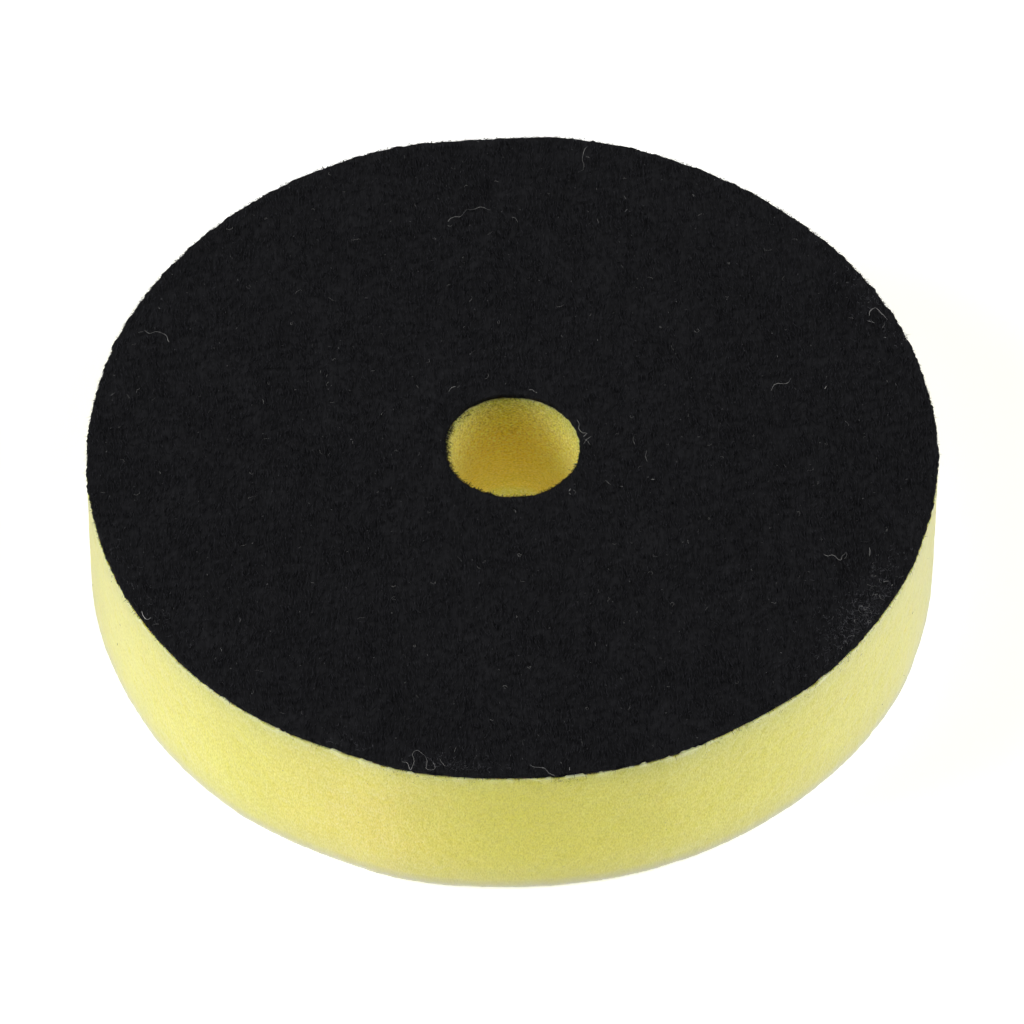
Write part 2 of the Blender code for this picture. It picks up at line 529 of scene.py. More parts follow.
        # painted shade: on the wall the lowest three millimetres are painted darker and greyer, the shadow where
        # its edge meets the floor
        painted_contact_shade = n.ramp(
            n.math("MULTIPLY", n.height(), 1.0 / (3.0 * MM)), [(0.0, 1.0), (0.28, 0.72), (0.60, 0.28), (1.0, 0.0)]
        )
        if where == "wall":
            colour = n.mix("MIX", painted_contact_shade, colour, FOAM_PAINTED_CONTACT_SHADE)
    # painted highlight: the torn cells that stand up past the film are painted paler, as if they catch the light
    above = n.math("MULTIPLY", n.height(), 1.0 / (FOAM_TOP + 1.0 * MM))
    level = FOAM_TOP / (FOAM_TOP + 1.0 * MM)
    colour = n.mix("MIX", n.ramp(above, [(level - 0.009, 0.0), (level + 0.007, 0.85)]), colour, FOAM_PAINTED_RIM_HIGHLIGHT)
    relief = n.math("ADD", n.math("MULTIPLY", fine, 0.6), n.math("MULTIPLY", pores, 0.7))
    normal = n.bump(relief, 0.95, (0.26 if where == "hole" else 0.06) * MM)
    n.set(
        Roughness=0.78,
        Subsurface_Weight=0.85 if where == "hole" else 0.8,
        Subsurface_Radius=(1.0, 0.80, 0.22),
        Subsurface_Scale=3.6 * MM,
        Specular_IOR_Level=0.30,
        Sheen_Weight=0.35 if where == "hole" else 0.95,
        Sheen_Roughness=0.57,
        Sheen_Tint=(1.0, 0.99, 0.93, 1.0),
    )
    return n.finish(colour, None, normal)


def pile_material(name, colour, streak=0.5, sheen=0.02, specular=0.10):
    """Brushed black loop pile: matt, with light and dark runs along the nap."""
    n = Nodes(name)
    runs = n.noise((2900.0, 620.0, 900.0), detail=2.0, roughness=0.6, distortion=0.3)
    broad = n.noise((160.0, 75.0, 160.0), detail=3.0, roughness=0.6)
    dark = tuple(c * (1 - streak) for c in colour)
    light = tuple(c * (1 + streak) for c in colour)
    base = n.mix("MIX", n.ramp(runs, [(0.30, 0.0), (0.72, 1.0)]), dark, light)
    base = n.mix("MULTIPLY", 1.0, base, n.ramp(broad, [(0.30, 0.88), (0.72, 1.14)]))
    normal = n.bump(n.math("ADD", runs, n.math("MULTIPLY", broad, 0.4)), 0.6, 0.20 * MM)
    n.set(
        Roughness=0.92,
        Specular_IOR_Level=specular,
        Sheen_Weight=sheen,
        Sheen_Roughness=0.6,
        Sheen_Tint=(0.80, 0.82, 1.0, 1.0),
    )
    return n.finish(base, None, normal)


def knit_material():
    """Warp-knit ground of the loop cloth, with its wales across the pad."""
    n = Nodes("black_knit_ground")
    wales = n.add("ShaderNodeTexWave")
    wales.bands_direction = "X"
    wales.inputs["Scale"].default_value = 1.0
    wales.inputs["Distortion"].default_value = 1.5
    n.link(n.mapping((900.0, 900.0, 900.0)), wales.inputs["Vector"])
    runs = n.noise((1500.0, 700.0, 1500.0), detail=2.0)
    base = n.mix("MIX", wales.outputs["Fac"], (0.006, 0.006, 0.007), (0.016, 0.016, 0.019))
    base = n.mix("MULTIPLY", 1.0, base, n.ramp(runs, [(0.3, 0.7), (0.7, 1.2)]))
    normal = n.bump(n.math("ADD", wales.outputs["Fac"], runs), 0.5, 0.12 * MM)
    n.set(Roughness=0.9, Specular_IOR_Level=0.12)
    return n.finish(base, None, normal)


def film_material():
    """Set hot-melt adhesive: pale, slightly glossy, uneven."""
    n = Nodes("hot_melt_film")
    lumps = n.noise((900.0, 900.0, 900.0), detail=3.0)
    base = n.mix(
        "MIX", n.ramp(lumps, [(0.35, 0.0), (0.65, 1.0)]), (0.50, 0.47, 0.16), (0.74, 0.71, 0.34)
    )
    n.set(Roughness=0.45, Specular_IOR_Level=0.4, Subsurface_Weight=0.2, Subsurface_Scale=0.5 * MM)
    return n.finish(base, None, n.bump(lumps, 0.5, 0.08 * MM))


def fibre_material(name, low, high, roughness=0.5, specular=0.4):
    """Loose filament: grey to pale along its length."""
    n = Nodes(name)
    change = n.noise((420.0, 420.0, 420.0), detail=2.0)
    base = n.mix("MIX", n.ramp(change, [(0.35, 0.0), (0.65, 1.0)]), low, high)
    n.set(Roughness=roughness, Specular_IOR_Level=specular)
    return n.finish(base)


M_WALL = foam_material("foam_cut_wall", "wall")
M_HOLE = foam_material("foam_hole_wall", "hole")
M_FACE = foam_material("foam_polishing_face", "face")
M_PILE = pile_material("black_loop_pile", (0.0126, 0.0126, 0.0140), streak=0.48)
M_NAP = pile_material("black_pile_nap", (0.0149, 0.0149, 0.0164), streak=0.42, sheen=0.04)
M_KNIT = knit_material()
M_FILM = film_material()
M_LINT = fibre_material("pale_filament", (0.11, 0.11, 0.115), (0.66, 0.65, 0.63))
M_FRAY = fibre_material("frayed_fibre", (0.055, 0.056, 0.064), (0.200, 0.200, 0.225))
M_SPECK = fibre_material("grey_fibre_bits", (0.06, 0.06, 0.065), (0.34, 0.34, 0.34))
M_BLACK_FIBRE = fibre_material("black_fibre", (0.010, 0.010, 0.011), (0.028, 0.028, 0.030), 0.7, 0.15)

# ---------------------------------------------------------------- foam body


def build_foam():
    bottom_round, hole_round, top_round = 1.2 * MM, 0.6 * MM, 0.14 * MM
    profile = ring_profile(
        RADIUS, HOLE, 0.0, FOAM_TOP,
        (top_round, bottom_round, hole_round, top_round),
        (4.0 * MM, 0.48 * MM, 0.90 * MM, 0.32 * MM),
        (2.0 * MM, 0.55 * MM, 1.00 * MM, 0.33 * MM),
    )
    r, t, z, nr, nz, row, tris = turned(profile)
    p = place(r, t, z)
    q = p / MM
    # waves of a blade through soft foam, then cut cells
    d = 0.11 * fbm(q / np.array([16.0, 16.0, 22.0]), 2, 11)
    d += 0.045 * noise(q / 2.6, 23)
    d += 0.050 * noise(q / np.array([0.95, 0.95, 1.5]), 31)
    d += 0.030 * noise(q / 0.55 + 3.7, 37)
    # pits where large cells were opened
    pit = spread(noise(q / 1.15 + 9.1, 41), 0.55, 0.95)
    d -= 0.11 * pit
    d *= MM
    hidden = (nz > 0.5) & (z > FOAM_TOP - 0.2 * MM)
    d = np.where(hidden, 0.0, d)
    # the foam rests on its face: nothing of it goes under the surface it lies on
    on_face = spread(-nz, 0.6, 1.0)
    d = d * (1 - 0.75 * on_face)
    # knife marks: fine upright lines in the wall, turned lines in the hole
    upright = 0.022 * MM * noise(np.stack([t * RADIUS / (0.75 * MM), z / (9 * MM), z * 0], 1), 53)
    turned_line = 0.05 * MM * noise(
        np.stack([t * 2.2, z / (0.8 * MM), z * 0], 1), 59
    )
    is_wall = (nr > 0.5) & (r > 0.5 * RADIUS)
    is_hole = (nr < -0.5) & (r < 0.5 * RADIUS)
    # the drill opened larger pores, mostly near the cloth
    pore = spread(noise(q / np.array([0.75, 0.75, 0.65]) + 2.3, 83), 0.35, 0.85)
    mouth = 0.45 + 0.55 * spread(z, 0.45 * FOAM_TOP, 0.9 * FOAM_TOP)
    d = d - np.where(is_hole, 0.20 * MM * pore * mouth, 0.0)
    d = d + np.where(is_wall, upright, 0.0) + np.where(is_hole, turned_line, 0.0)
    # the foam is pinched just under the cloth
    near_top = np.exp(-(((FOAM_TOP - z) / (1.1 * MM)) ** 2))
    torn = 0.20 * noise(q / np.array([1.5, 1.5, 1.0]), 61) + 0.12 * noise(q / 0.7, 67)
    d = d - np.where(is_wall | is_hole, near_top * torn * MM, 0.0)
    # and at its very edge torn cells stand out and up past the film
    edge = is_wall * spread(z, FOAM_TOP - 0.75 * MM, FOAM_TOP - 0.10 * MM)
    edge = edge * (0.12 + 0.88 * spread(-np.sin(t), -0.15, 0.35))
    crumb = spread(noise(q / np.array([0.95, 0.95, 4.0]), 89), -0.15, 0.65)
    crumb = crumb * (0.45 + 0.55 * spread(noise(q / np.array([9.0, 9.0, 9.0]), 97), -0.3, 0.4))
    d = d + edge * (0.12 + 0.21 * crumb) * MM
    # round the far side the cloth was trimmed a little proud of the foam
    proud = is_wall * spread(np.sin(t), -0.05, 0.15)
    d = d - proud * 0.17 * MM * spread(z, FOAM_TOP - 3.0 * MM, FOAM_TOP - 0.3 * MM)
    n = np.stack([nr * np.cos(t), nr * np.sin(t), nz], 1)
    p = p + n * d[:, None]
    p[:, 2] += edge * 0.55 * MM * crumb * spread(z, FOAM_TOP - 0.5 * MM, FOAM_TOP - 0.02 * MM)
    p[:, 2] = np.maximum(p[:, 2], 0.0)
    mean_row = row[tris].mean(1)
    mid_r = r[tris].mean(1)
    mid_nz = nz[tris].mean(1)
    index = np.where(mid_r < HOLE + 0.4 * MM, 1, np.where(mid_nz < -0.75, 2, 0))
    return mesh_object("foam_body", p, tris, [M_WALL, M_HOLE, M_FACE], index)


# ---------------------------------------------------------------- laminate: film and ground cloth


def build_film():
    edge = 0.05 * MM
    profile = ring_profile(
        RADIUS - 0.02 * MM, HOLE + 0.05 * MM, FOAM_TOP + 0.01 * MM, knit_low.z + 0.02 * MM,
        (edge, edge, edge, edge),
        (3.0 * MM, 0.09 * MM, 3.0 * MM, 0.09 * MM),
        (1.2 * MM, 0.40 * MM, 1.2 * MM, 0.40 * MM),
    )
    r, t, z, nr, nz, row, tris = turned(profile)
    p = place(r, t, z)
    # squeezed-out beads along both cut edges
    bead = 0.16 * noise(p / MM / 1.6, 71) + 0.10 * noise(p / MM / 0.5, 73)
    bead = (bead - 0.30) * MM * spread(np.abs(nr), 0.3, 1.0)
    n = np.stack([nr * np.cos(t), nr * np.sin(t), nz * 0], 1)
    return mesh_object("adhesive_layer", p + n * bead[:, None], tris, [M_FILM])


def build_ground():
    edge = 0.08 * MM
    profile = ring_profile(
        RADIUS - 0.04 * MM, HOLE + 0.06 * MM, knit_low.z + 0.01 * MM, knit_high.z,
        (edge, edge, edge, edge),
        (1.6 * MM, 0.12 * MM, 2.4 * MM, 0.12 * MM),
        (1.1 * MM, 0.36 * MM, 2.4 * MM, 0.36 * MM),
    )
    r, t, z, nr, nz, row, tris = turned(profile)
    p = place(r, t, z)
    q = p / MM
    # cut yarn ends stand out of the edge, one every half millimetre or so
    yarn = 0.09 * np.abs(np.sin(q[:, 0] * TAU / 1.05)) + 0.09 * np.abs(np.sin(q[:, 1] * TAU / 0.9))
    ragged = 0.12 * noise(q / 0.7, 81) + 0.20 * noise(q / 1.8, 127)
    d = (yarn - 0.12 + ragged) * MM * spread(np.abs(nr), 0.3, 1.0)
    n = np.stack([nr * np.cos(t), nr * np.sin(t), nz * 0], 1)
    return mesh_object("knit_ground_cloth", p + n * d[:, None], tris, [M_KNIT])


# ---------------------------------------------------------------- loop pile

BED_TOP = PAD_TOP - 0.42 * MM


def nap_relief(q):
    """Height of the brushed pile's surface over its mean, in millimetres, at points in mm."""
    drift = 0.9 * noise(q / np.array([9.0, 9.0, 9.0]), 101)
    s = q + np.stack([drift, drift * 0, drift * 0], 1)
    h = 0.085 * noise(s / np.array([1.05, 3.4, 9.0]), 103)
    h += 0.070 * noise(s / np.array([0.62, 2.1, 9.0]) + 5.0, 107)
    h += 0.050 * fbm(q / np.array([14.0, 11.0, 9.0]), 2, 109)
    return h


def build_pile_bed():
    edge_out, edge_low = 0.30 * MM, 0.06 * MM
    profile = ring_profile(
        RADIUS - 0.02 * MM, HOLE + 0.02 * MM, pile_low.z - 0.03 * MM, BED_TOP,
        (0.22 * MM, edge_low, edge_low, 0.22 * MM),
        (0.44 * MM, 0.14 * MM, 3.0 * MM, 0.14 * MM),
        (0.50 * MM, 0.40 * MM, 2.4 * MM, 0.36 * MM),
    )
    r, t, z, nr, nz, row, tris = turned(profile)
    p = place(r, t, z)
    q = p / MM
    up = spread(nz, 0.2, 0.9)
    side = spread(np.abs(nr), 0.3, 1.0)
    p[:, 2] += nap_relief(q) * MM * up
    # the cut edge is ragged where tufts were halved
    rag = 0.20 * noise(q / np.array([0.62, 0.62, 2.0]), 113) + 0.25 * noise(q / 1.9, 127)
    n = np.stack([nr * np.cos(t), nr * np.sin(t), nz * 0], 1)
    p += n * (rag * MM * np.maximum(side, spread(r, RADIUS - 0.5 * MM, RADIUS)))[:, None]
    return mesh_object("loop_pile_bed", p, tris, [M_PILE])


def spikes(base, heading, length, lift, droop, width, thick, rings=2, twist=None):
    """Closed tapered fibres: N bodies of three-sided rings and a tip.

    heading: horizontal angle. lift: angle off the horizontal at the root.
    droop: how far the tip sinks below the straight line, as a share of length.
    """
    count = len(base)
    steps = [k / rings for k in range(rings)]
    side = np.stack([-np.sin(heading), np.cos(heading), np.zeros(count)], 1)
    fwd = np.stack([np.cos(heading), np.sin(heading), np.zeros(count)], 1)
    up = np.array([0.0, 0.0, 1.0])
    bow = np.zeros(count) if twist is None else twist

    def centre(s):
        along = length * s
        return (
            base
            + fwd * (along * np.cos(lift))[:, None]
            + up * (along * np.sin(lift) - droop * length * s * s)[:, None]
            + side * (bow * length * s * s)[:, None]
        )

    verts = []
    for s in steps:
        c = centre(s)
        taper = (1.0 - 0.55 * s * s)
        w, h = width * 0.5 * taper, thick * taper
        verts.append(c - side * w[:, None] - up * (h * 0.33)[:, None])
        verts.append(c + side * w[:, None] - up * (h * 0.33)[:, None])
        verts.append(c + up * (h * 0.67)[:, None])
    verts.append(centre(1.0))
    co = np.stack(verts, 1)  # (N, rings * 3 + 1, 3)
    per = rings * 3 + 1
    tris = [(0, 2, 1)]
    for k in range(rings - 1):
        a, b = 3 * k, 3 * (k + 1)
        for i in range(3):
            m = (i + 1) % 3
            tris += [(a + i, a + m, b + m), (a + i, b + m, b + i)]
    a = 3 * (rings - 1)
    for i in range(3):
        tris.append((a + i, a + (i + 1) % 3, per - 1))
    tris = np.array(tris)
    all_tris = (tris[None] + (np.arange(count) * per)[:, None, None]).reshape(-1, 3)
    return co.reshape(-1, 3), all_tris


def scatter(step, seed):
    """Points on a jittered hexagonal lattice over the pad's disc, in metres."""
    rng = np.random.default_rng(seed)
    rows = int(2 * RADIUS / (step * 0.866)) + 3
    pts = []
    for k in range(rows):
        y = -RADIUS - step + k * step * 0.866
        xs = np.arange(-RADIUS - step, RADIUS + step, step) + (0.5 * step if k % 2 else 0.0)
        pts.append(np.stack([xs, np.full(len(xs), y)], 1))
    pts = np.concatenate(pts)
    pts += rng.uniform(-0.42, 0.42, pts.shape) * step
    return pts, rng


def inside_cut(xy, margin_out, margin_in):
    """Which points are on the cloth, that far inside its cut edge and its hole."""
    t = np.arctan2(xy[:, 1], xy[:, 0])
    rad = np.hypot(xy[:, 0], xy[:, 1])
    outer = RADIUS + cut_offset(t, np.full(len(t), PAD_TOP))
    hx, hy = xy[:, 0] - HOLE_SHIFT[0], xy[:, 1] - HOLE_SHIFT[1]
    ht = np.arctan2(hy, hx)
    hole = HOLE + periodic(HOLE_WAVE, ht)
    return (rad < outer - margin_out) & (np.hypot(hx, hy) > hole + margin_in)


def build_nap(name, step, seed, keep=1.0):
    """The brushed surface of the pile: short tufts that lie along Y."""
    xy, rng = scatter(step, seed)
    xy = xy[inside_cut(xy, 0.25 * MM, 0.20 * MM)]
    q = np.stack([xy[:, 0], xy[:, 1], np.zeros(len(xy))], 1) / MM
    lean = 0.5 * noise(q / np.array([4.5, 7.0, 1.0]), seed + 1) + 0.35 * rng.normal(0, 1, len(xy))
    heading = np.where(rng.random(len(xy)) < 0.80, -0.5 * math.pi, 0.5 * math.pi) + lean * 0.55
    clump = 0.5 + 0.5 * noise(q / np.array([0.8, 2.6, 1.0]), seed + 2)
    length = (0.9 + 0.9 * rng.random(len(xy)) + 0.5 * clump) * MM
    width = (0.10 + 0.13 * rng.random(len(xy))) * MM
    thick = (0.07 + 0.06 * rng.random(len(xy))) * MM
    lift = np.radians(9 + 16 * rng.random(len(xy)) + 8 * clump)
    droop = 0.10 + 0.16 * rng.random(len(xy))
    bow = rng.normal(0, 0.16, len(xy))
    z = BED_TOP + (nap_relief(q) - 0.05) * MM
    base = np.stack([xy[:, 0], xy[:, 1], z], 1)
    # keep the tips over the cloth
    tip = base[:, :2] + np.stack([np.cos(heading), np.sin(heading)], 1) * length[:, None]
    over = ~inside_cut(tip, -0.15 * MM, -0.12 * MM)
    length = np.where(over, length * 0.45, length)
    co, tris = spikes(base, heading, length, lift, droop, width, thick, 2, bow)
    return mesh_object(name, co, tris, [M_NAP], smooth=True)


def build_fringe(name, hole, count, seed):
    """Fibres along a cut edge: halved tufts that lean out over it."""
    rng = np.random.default_rng(seed)
    t = (np.arange(count) + rng.uniform(-0.5, 0.5, count)) / count * TAU
    if hole:
        t[: count // 9] = np.radians(rng.normal(178, 17, count // 9))
    level = rng.random(count)
    z = knit_low.z + (0.06 + 1.02 * level) * MM
    if hole:
        wave = periodic(HOLE_WAVE, t)
        rad = HOLE + wave + (0.10 + 0.25 * rng.random(count)) * MM
        base = np.stack(
            [rad * np.cos(t) + HOLE_SHIFT[0], rad * np.sin(t) + HOLE_SHIFT[1], z], 1
        )
        out = t + math.pi
    else:
        rad = RADIUS + cut_offset(t, np.full(count, PAD_TOP)) - (0.12 + 0.28 * rng.random(count)) * MM
        base = np.stack([rad * np.cos(t), rad * np.sin(t), z], 1)
        out = t
    # tufts still lean along the nap, so they cross the edge at all angles
    nap = np.where(rng.random(count) < 0.7, -0.5 * math.pi, 0.5 * math.pi)
    k = 0.55 + 0.45 * rng.random(count)
    hx = k * np.cos(out) + (1 - k) * np.cos(nap) + rng.normal(0, 0.30, count)
    hy = k * np.sin(out) + (1 - k) * np.sin(nap) + rng.normal(0, 0.30, count)
    heading = np.arctan2(hy, hx)
    stray = rng.random(count) < 0.05
    if hole:
        # the nap overhangs the left of the hole most
        first = np.arange(count) < count // 9
        near = np.abs((t - math.radians(232) + math.pi) % TAU - math.pi) < math.radians(52)
        near &= rng.random(count) < 0.14
    length = np.where(stray, 0.6 + 0.7 * rng.random(count), 0.28 + 0.34 * rng.random(count)) * MM
    if hole:
        # and the rest of its edge is ragged, with short gaps
        length = length * (0.75 + 0.5 * rng.random(count)) * np.where(
            noise(np.stack([t * 26, t * 0, t * 0], 1), 331) > -0.1, 1.0, 0.6
        )
        length = np.where(first, (0.7 + 1.1 * rng.random(count)) * MM, length)
        length = np.where(near, (0.5 + 0.5 * rng.random(count)) * MM, length)
    lift = np.radians(rng.uniform(-35, 32, count))
    hangs = (rng.random(count) < (0.10 if hole else 0.30)) & (level < 0.6)
    lift = np.where(hangs, np.radians(rng.uniform(-72, -20, count)), lift)
    droop = 0.12 + 0.35 * rng.random(count)
    width = (0.045 + 0.060 * rng.random(count)) * MM
    thick = (0.040 + 0.035 * rng.random(count)) * MM
    bow = rng.normal(0, 0.22, count)
    if hole:
        # clumped tufts along the near side
        width = np.where(near, width * 1.9, width)
    co, tris = spikes(base, heading, length, lift, droop, width, thick, 3, bow)
    return mesh_object(name, co, tris, [M_NAP], smooth=True)


# ---------------------------------------------------------------- loose fibres


def tube(points, radius, sides=5):
    """Closed thin tube through points (N, 3) in metres, with flat ends."""
    p = np.asarray(points, float)
    d = np.gradient(p, axis=0)
    d /= np.linalg.norm(d, axis=1)[:, None] + 1e-12
    ref = np.array([0.0, 0.0, 1.0])
    u = np.cross(d, ref)
    bad = np.linalg.norm(u, axis=1) < 1e-3
    u[bad] = np.cross(d[bad], np.array([1.0, 0.0, 0.0]))
    u /= np.linalg.norm(u, axis=1)[:, None]
    v = np.cross(u, d)
    n = len(p)
    taper = np.ones(n)
    taper[0] = taper[-1] = 0.45
    co = []
    for k in range(sides):
        a = TAU * k / sides
        co.append(p + (u * math.cos(a) + v * math.sin(a)) * (radius * taper)[:, None])
    co = np.stack(co, 1).reshape(-1, 3)
    tris = []
    for i in range(n - 1):
        for k in range(sides):
            m = (k + 1) % sides
            a, b = i * sides + k, i * sides + m
            c, e = (i + 1) * sides + k, (i + 1) * sides + m
            tris += [(a, b, e), (a, e, c)]
    first, last = 0, (n - 1) * sides
    for k in range(1, sides - 1):
        tris.append((first, first + k + 1, first + k))
        tris.append((last, last + k, last + k + 1))
    tris = np.array(tris)
    a, b, c = co[tris[:, 0]], co[tris[:, 1]], co[tris[:, 2]]
    if np.einsum("ij,ij->i", a - p[0], np.cross(b - p[0], c - p[0])).sum() < 0:
        tris = tris[:, ::-1]
    return co, tris


def joined(parts):
    co, tris, start = [], [], 0
    for c, t in parts:
        co.append(c)
        tris.append(t + start)
        start += len(c)
    return np.concatenate(co), np.concatenate(tris)


def smooth_path(points, per=6):
    """Catmull-Rom curve through points (N, 3)."""
    p = np.asarray(points, float)
    p = np.concatenate([[2 * p[0] - p[1]], p, [2 * p[-1] - p[-2]]])
    out = []
    for i in range(1, len(p) - 2):
        for k in range(per):
            f = k / per
            out.append(
                0.5 * (2 * p[i] + (p[i + 1] - p[i - 1]) * f
                       + (2 * p[i - 1] - 5 * p[i] + 4 * p[i + 1] - p[i + 2]) * f * f
                       + (3 * p[i] - p[i - 1] - 3 * p[i + 1] + p[i + 2]) * f**3)
            )
    out.append(p[-2])
    return np.array(out)


# Loose filaments on the pile: radius, then (x, y) along each, in millimetres.
FILAMENTS = [
    (0.024, [(-11.3, 53.6), (-10.9, 54.3), (-10.0, 54.8), (-9.1, 54.8), (-8.4, 55.8), (-7.9, 56.4), (-7.0, 56.5), (-6.3, 56.7), (-5.5, 57.1), (-4.8, 57.0), (-4.1, 56.6), (-3.6, 56.5)]),
    (0.018, [(0.2, 54.8), (0.8, 54.4), (1.3, 53.4)]),
    (0.030, [(-65.2, 27.5), (-64.7, 26.9), (-64.2, 26.6), (-63.3, 27.0), (-62.4, 26.8), (-61.5, 26.3), (-61.2, 25.9), (-61.0, 25.1), (-60.8, 24.7)]),
    (0.026, [(46.1, 13.1), (46.5, 14.1), (46.8, 14.5), (47.5, 14.7), (48.4, 14.6), (49.1, 14.9), (49.5, 15.6), (49.7, 16.1)]),
    (0.034, [(55.6, 13.5), (55.8, 13.8), (56.0, 14.2)]),
    (0.028, [(63.9, 30.9), (64.0, 31.8), (64.4, 32.4), (65.0, 32.7), (65.5, 32.3), (66.0, 31.5), (66.5, 30.9), (67.2, 29.9)]),
    (0.026, [(63.5, 29.7), (64.2, 29.4), (64.9, 29.1)]),
    (0.022, [(66.1, 28.0), (66.5, 28.6), (66.5, 29.4)]),
    (0.042, [(-64.2, -38.1), (-64.0, -39.0), (-63.6, -39.9), (-63.1, -40.1), (-62.6, -39.6)]),
    (0.022, [(-62.4, -41.4), (-61.8, -41.2), (-61.2, -41.1)]),
    (0.022, [(-18.7, -72.1), (-17.8, -72.4), (-17.5, -73.3), (-17.2, -74.0), (-16.9, -73.2), (-16.6, -72.2), (-16.8, -71.1), (-16.9, -70.5), (-16.6, -69.9), (-16.0, -69.7), (-15.3, -70.3), (-14.7, -71.1), (-14.4, -72.0), (-14.5, -73.1), (-14.5, -73.7), (-14.0, -74.0), (-13.4, -74.0), (-13.0, -73.5), (-13.1, -72.8), (-13.4, -72.4)]),
    (0.018, [(-12.2, -71.5), (-11.9, -72.3), (-11.3, -73.1)]),
    (0.018, [(-9.7, -69.9), (-9.4, -68.8)]),
    (0.030, [(3.3, -72.8), (4.0, -73.3), (5.0, -73.5), (5.7, -73.6), (6.2, -74.2), (6.7, -74.8), (7.6, -75.2)]),
    (0.045, [(5.4, -73.5), (5.6, -73.6), (5.9, -73.6)]),
    (0.034, [(8.6, -72.2), (8.7, -72.5)]),
    (0.042, [(10.1, -73.3), (10.1, -73.6), (10.1, -74.0)]),
    (0.028, [(54.7, -25.1), (55.4, -25.5), (56.1, -25.3), (56.7, -25.7), (57.2, -26.4), (57.7, -26.5), (57.9, -25.7), (58.3, -25.2), (58.7, -24.7), (58.7, -25.5), (58.3, -26.2)]),
    (0.030, [(62.7, -23.5), (62.8, -24.5), (62.7, -25.5)]),
    (0.032, [(65.0, -31.5), (65.4, -31.4), (65.9, -31.3)]),
    (0.040, [(66.4, -32.3), (66.6, -32.1)]),
    (0.024, [(11.7, 6.2), (12.1, 5.2), (12.0, 4.1), (12.6, 3.1), (13.4, 3.0), (12.8, 2.2)]),
    (0.022, [(14.2, 2.3), (13.4, 1.5), (12.8, 0.5)]),
    (0.018, [(13.0, 1.7), (13.6, 1.0), (14.1, 0.2)]),
    (0.024, [(-11.0, 12.9), (-10.5, 13.7), (-9.8, 14.1)]),
    (0.024, [(3.2, 13.3), (3.8, 13.2), (4.2, 12.9)]),
    (0.028, [(4.5, 12.5), (4.6, 12.8)]),
    (0.020, [(14.0, 72.2), (13.4, 71.4), (13.1, 70.2), (12.9, 68.7), (13.2, 67.5), (13.1, 66.5)]),
    (0.018, [(12.1, 65.7), (12.8, 66.0), (13.2, 66.6)]),
    (0.018, [(13.6, 69.6), (14.2, 69.4)]),
    (0.036, [(-32.5, 23.6), (-32.1, 23.6)]),
    (0.026, [(-30.7, 23.5), (-30.6, 23.0)]),
    (0.024, [(-24.8, 17.8), (-24.1, 17.8)]),
    (0.016, [(-33.8, 18.0), (-33.7, 17.2)]),
    (0.018, [(-32.8, 16.3), (-32.4, 17.0)]),
    (0.036, [(19.3, -9.3), (19.7, -9.4)]),
    (0.034, [(24.7, -7.7), (25.4, -7.7)]),
    (0.020, [(21.7, 2.3), (21.6, 1.3), (21.9, 0.5)]),
    (0.018, [(24.0, -1.0), (23.7, -2.3), (24.0, -3.5)]),
    (0.038, [(10.2, -10.5), (10.5, -9.9)]),
    (0.026, [(11.0, -10.2), (11.4, -10.8), (11.1, -11.3)]),
    (0.030, [(10.3, -10.9), (10.5, -11.3)]),
    (0.024, [(20.4, 60.0), (20.7, 59.2)]),
    (0.030, [(20.6, 56.1), (20.9, 56.7)]),
    (0.045, [(66.5, 25.8), (66.8, 25.7)]),
    (0.026, [(13.7, 56.3), (14.1, 56.0)]),
    (0.026, [(15.4, 61.9), (15.5, 61.4)]),
    (0.022, [(15.5, 54.3), (15.8, 53.4)]),
]


def curl(rng, x, y, z, steps, step, wander):
    """A random curly path that starts at x, y, in metres."""
    turn, bend_rate = rng.uniform(0, TAU), rng.normal(0, wander)
    pts = [(x, y, z)]
    for _ in range(steps):
        turn += bend_rate + rng.normal(0, 0.45 * wander)
        px, py, _z = pts[-1]
        pts.append((px + step * math.cos(turn), py + step * math.sin(turn),
                    z + rng.uniform(-0.06, 0.12) * MM))
    return pts


def build_filaments():
    rng = np.random.default_rng(7)
    parts = []
    for radius, path in FILAMENTS:
        count = len(path)
        arch = np.sin(np.linspace(0, math.pi, count))
        z = PAD_TOP + (0.03 + 0.14 * arch + rng.uniform(-0.03, 0.05, count)) * MM
        pts = [(x * MM, y * MM, zz) for (x, y), zz in zip(path, z)]
        parts.append(tube(smooth_path(pts, 5), radius * MM, 5))
    # short curly ones all over
    xy, _ = scatter(7.5 * MM, 77)
    xy = xy[inside_cut(xy, 2.5 * MM, 2.5 * MM)]
    xy = xy[rng.random(len(xy)) < 0.55]
    for x, y in xy:
        z = PAD_TOP + rng.uniform(-0.05, 0.05) * MM
        pts = curl(rng, x, y, z, rng.integers(3, 6), rng.uniform(0.14, 0.34) * MM, 0.7)
        parts.append(tube(smooth_path(pts, 4), rng.uniform(0.009, 0.017) * MM, 4))
    for _ in range(34):
        a = math.radians(rng.normal(-32, 5.0))
        r = RADIUS - rng.gamma(1.7, 1.7) * MM - 0.5 * MM
        pts = curl(rng, r * math.cos(a), r * math.sin(a), PAD_TOP, rng.integers(3, 7),
                   rng.uniform(0.12, 0.34) * MM, 0.6)
        if inside_cut(np.array([(p[0], p[1]) for p in pts]), 0.25 * MM, 0.3 * MM).all():
            parts.append(tube(smooth_path(pts, 4), rng.uniform(0.009, 0.017) * MM, 4))
    co, tris = joined(parts)
    return mesh_object("stray_filaments", co, tris, [M_LINT])


